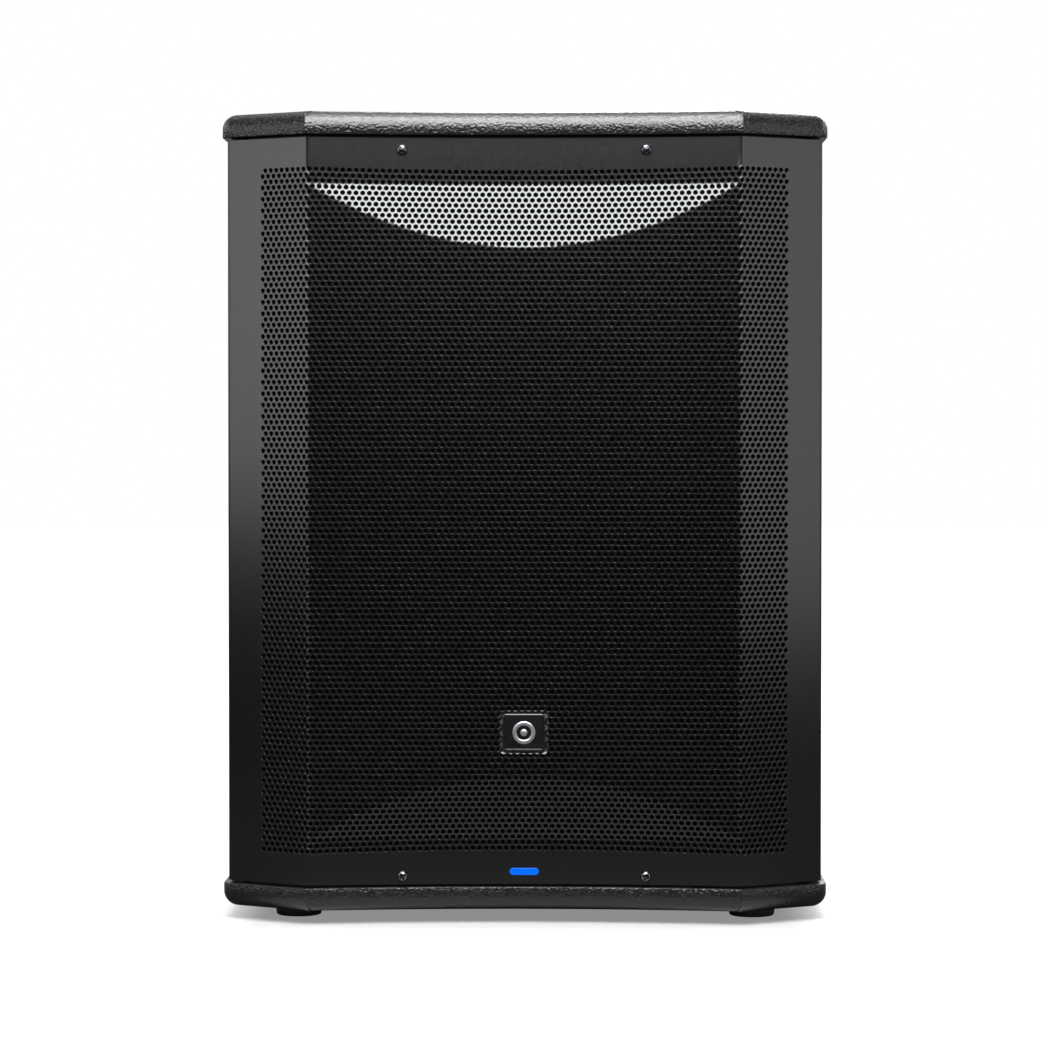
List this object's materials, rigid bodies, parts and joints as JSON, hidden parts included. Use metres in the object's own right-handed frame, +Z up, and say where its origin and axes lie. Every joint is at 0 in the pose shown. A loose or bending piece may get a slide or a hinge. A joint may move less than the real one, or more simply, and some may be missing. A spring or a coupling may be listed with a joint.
{
  "type": "subwoofer cabinet",
  "caption": "Powered bass-reflex subwoofer cabinet with winged perforated grille, side handles, pole socket and rear amplifier.",
  "frame": {"origin": "on the floor, under the middle of the cabinet", "axes": "+Z up; the grille faces -Y; +X to the right seen from the front"},
  "size_m": [0.463, 0.58, 0.6166],
  "materials": {
    "textured_paint": "pebbled hard black coating",
    "plywood": "bare birch plywood",
    "grille_steel": "fine matt black powder coat",
    "grille_foam": "open-cell black foam",
    "screw_steel": "black oxide",
    "blue_lens": "lit blue lens",
    "badge_plastic": "satin dark grey",
    "foot_rubber": "matt moulded rubber",
    "socket_metal": "satin black",
    "handle_plastic": "fine grained black plastic",
    "basket_metal": "semi-gloss black",
    "gasket_rubber": "matt",
    "surround_rubber": "satin",
    "cone_paper": "pressed fibre",
    "coil_copper": "enamelled copper wire",
    "spider_cloth": "resin-treated cloth",
    "motor_steel": "black zinc plate",
    "ferrite": "matt ceramic",
    "port_plastic": "fine grain",
    "amp_panel": "fine textured black",
    "heatsink_alloy": "black anodised",
    "tub_alloy": "mill finish",
    "circuit_board": "solder mask",
    "screen_glass": "dark display glass",
    "control_plastic": "soft-touch black",
    "bare_steel": "nickel plate",
    "socket_plastic": "moulded black",
    "socket_shell": "black chrome",
    "lead_rubber": "smooth jacket"
  },
  "bodies": {
    "cabinet": {"top_panel": "textured_paint", "bottom_panel": "textured_paint", "left_side_panel": "textured_paint", "right_side_panel": "textured_paint", "front_baffle": "textured_paint", "back_panel": "textured_paint", "window_brace": "plywood", "grille_rail_top": "plywood", "grille_rail_bottom": "plywood", "grille": "grille_steel", "grille_foam": "grille_foam", "grille_screw_top_left": "screw_steel", "grille_screw_top_right": "screw_steel", "grille_screw_bottom_left": "screw_steel", "grille_screw_bottom_right": "screw_steel", "led_lens": "blue_lens", "badge": "badge_plastic", "foot_front_left": "foot_rubber", "foot_front_right": "foot_rubber", "foot_rear_left": "foot_rubber", "foot_rear_right": "foot_rubber", "pole_cup": "socket_metal", "handle_left": "handle_plastic", "handle_right": "handle_plastic", "basket": "basket_metal", "gasket": "gasket_rubber", "surround": "surround_rubber", "spider": "spider_cloth", "driver_top_plate": "motor_steel", "back_plate": "motor_steel", "magnet": "ferrite", "port_tube_left": "port_plastic", "port_tube_right": "port_plastic", "amp_plate": "amp_panel", "heatsink": "heatsink_alloy", "amp_tub": "tub_alloy", "amp_board": "circuit_board", "power_supply": "circuit_board", "display_window": "screen_glass", "input_jack_a": "socket_plastic", "input_jack_b": "socket_plastic", "power_inlet": "socket_plastic", "output_jack_a": "socket_shell", "output_jack_b": "socket_shell", "speaker_lead": "lead_rubber"},
    "moving_cone": {"cone": "cone_paper", "dust_cap": "cone_paper", "voice_coil": "coil_copper"},
    "level_knob_a": {"level_knob_a": "control_plastic"},
    "level_knob_b": {"level_knob_b": "control_plastic"},
    "encoder_shaft": {"menu_encoder_shaft": "bare_steel"},
    "encoder_knob": {"menu_encoder_knob": "control_plastic"},
    "select_button": {"select_button": "control_plastic"},
    "back_button": {"back_button": "control_plastic"},
    "input_latch_a": {"input_latch_a": "bare_steel"},
    "input_latch_b": {"input_latch_b": "bare_steel"},
    "fuse_drawer": {"fuse_drawer": "socket_plastic"},
    "power_rocker": {"power_rocker": "control_plastic"}
  },
  "joints": [
    {"name": "cone_travel", "type": "slide", "parent": "cabinet", "child": "moving_cone", "axis": [0, -1, 0], "range_m": [-0.008, 0.008], "stiffness_N_per_m": 6000, "deforming": ["surround", "spider"]},
    {"name": "level_knob_a_turn", "type": "hinge", "parent": "cabinet", "child": "level_knob_a", "pos_m": [0.032, 0.2713, 0.422], "axis": [0, 1, 0], "range_deg": [-150, 150]},
    {"name": "level_knob_b_turn", "type": "hinge", "parent": "cabinet", "child": "level_knob_b", "pos_m": [-0.032, 0.2713, 0.422], "axis": [0, 1, 0], "range_deg": [-150, 150]},
    {"name": "menu_encoder_push", "type": "slide", "parent": "cabinet", "child": "encoder_shaft", "axis": [0, -1, 0], "range_m": [0, 0.0008], "stiffness_N_per_m": 800},
    {"name": "menu_encoder_turn", "type": "hinge", "parent": "encoder_shaft", "child": "encoder_knob", "pos_m": [-0.062, 0.2813, 0.492], "axis": [0, 1, 0], "continuous": true},
    {"name": "select_button_press", "type": "slide", "parent": "cabinet", "child": "select_button", "axis": [0, -1, 0], "range_m": [0, 0.0012], "stiffness_N_per_m": 400},
    {"name": "back_button_press", "type": "slide", "parent": "cabinet", "child": "back_button", "axis": [0, -1, 0], "range_m": [0, 0.0012], "stiffness_N_per_m": 400},
    {"name": "input_latch_a_press", "type": "slide", "parent": "cabinet", "child": "input_latch_a", "axis": [0, -1, 0], "range_m": [0, 0.0015], "stiffness_N_per_m": 600},
    {"name": "input_latch_b_press", "type": "slide", "parent": "cabinet", "child": "input_latch_b", "axis": [0, -1, 0], "range_m": [0, 0.0015], "stiffness_N_per_m": 600},
    {"name": "fuse_drawer_slide", "type": "slide", "parent": "cabinet", "child": "fuse_drawer", "axis": [0, 1, 0], "range_m": [0, 0.016]},
    {"name": "power_rocker_tip", "type": "hinge", "parent": "cabinet", "child": "power_rocker", "pos_m": [-0.06, 0.2713, 0.158], "axis": [1, 0, 0], "range_deg": [-16, 0]}
  ]
}
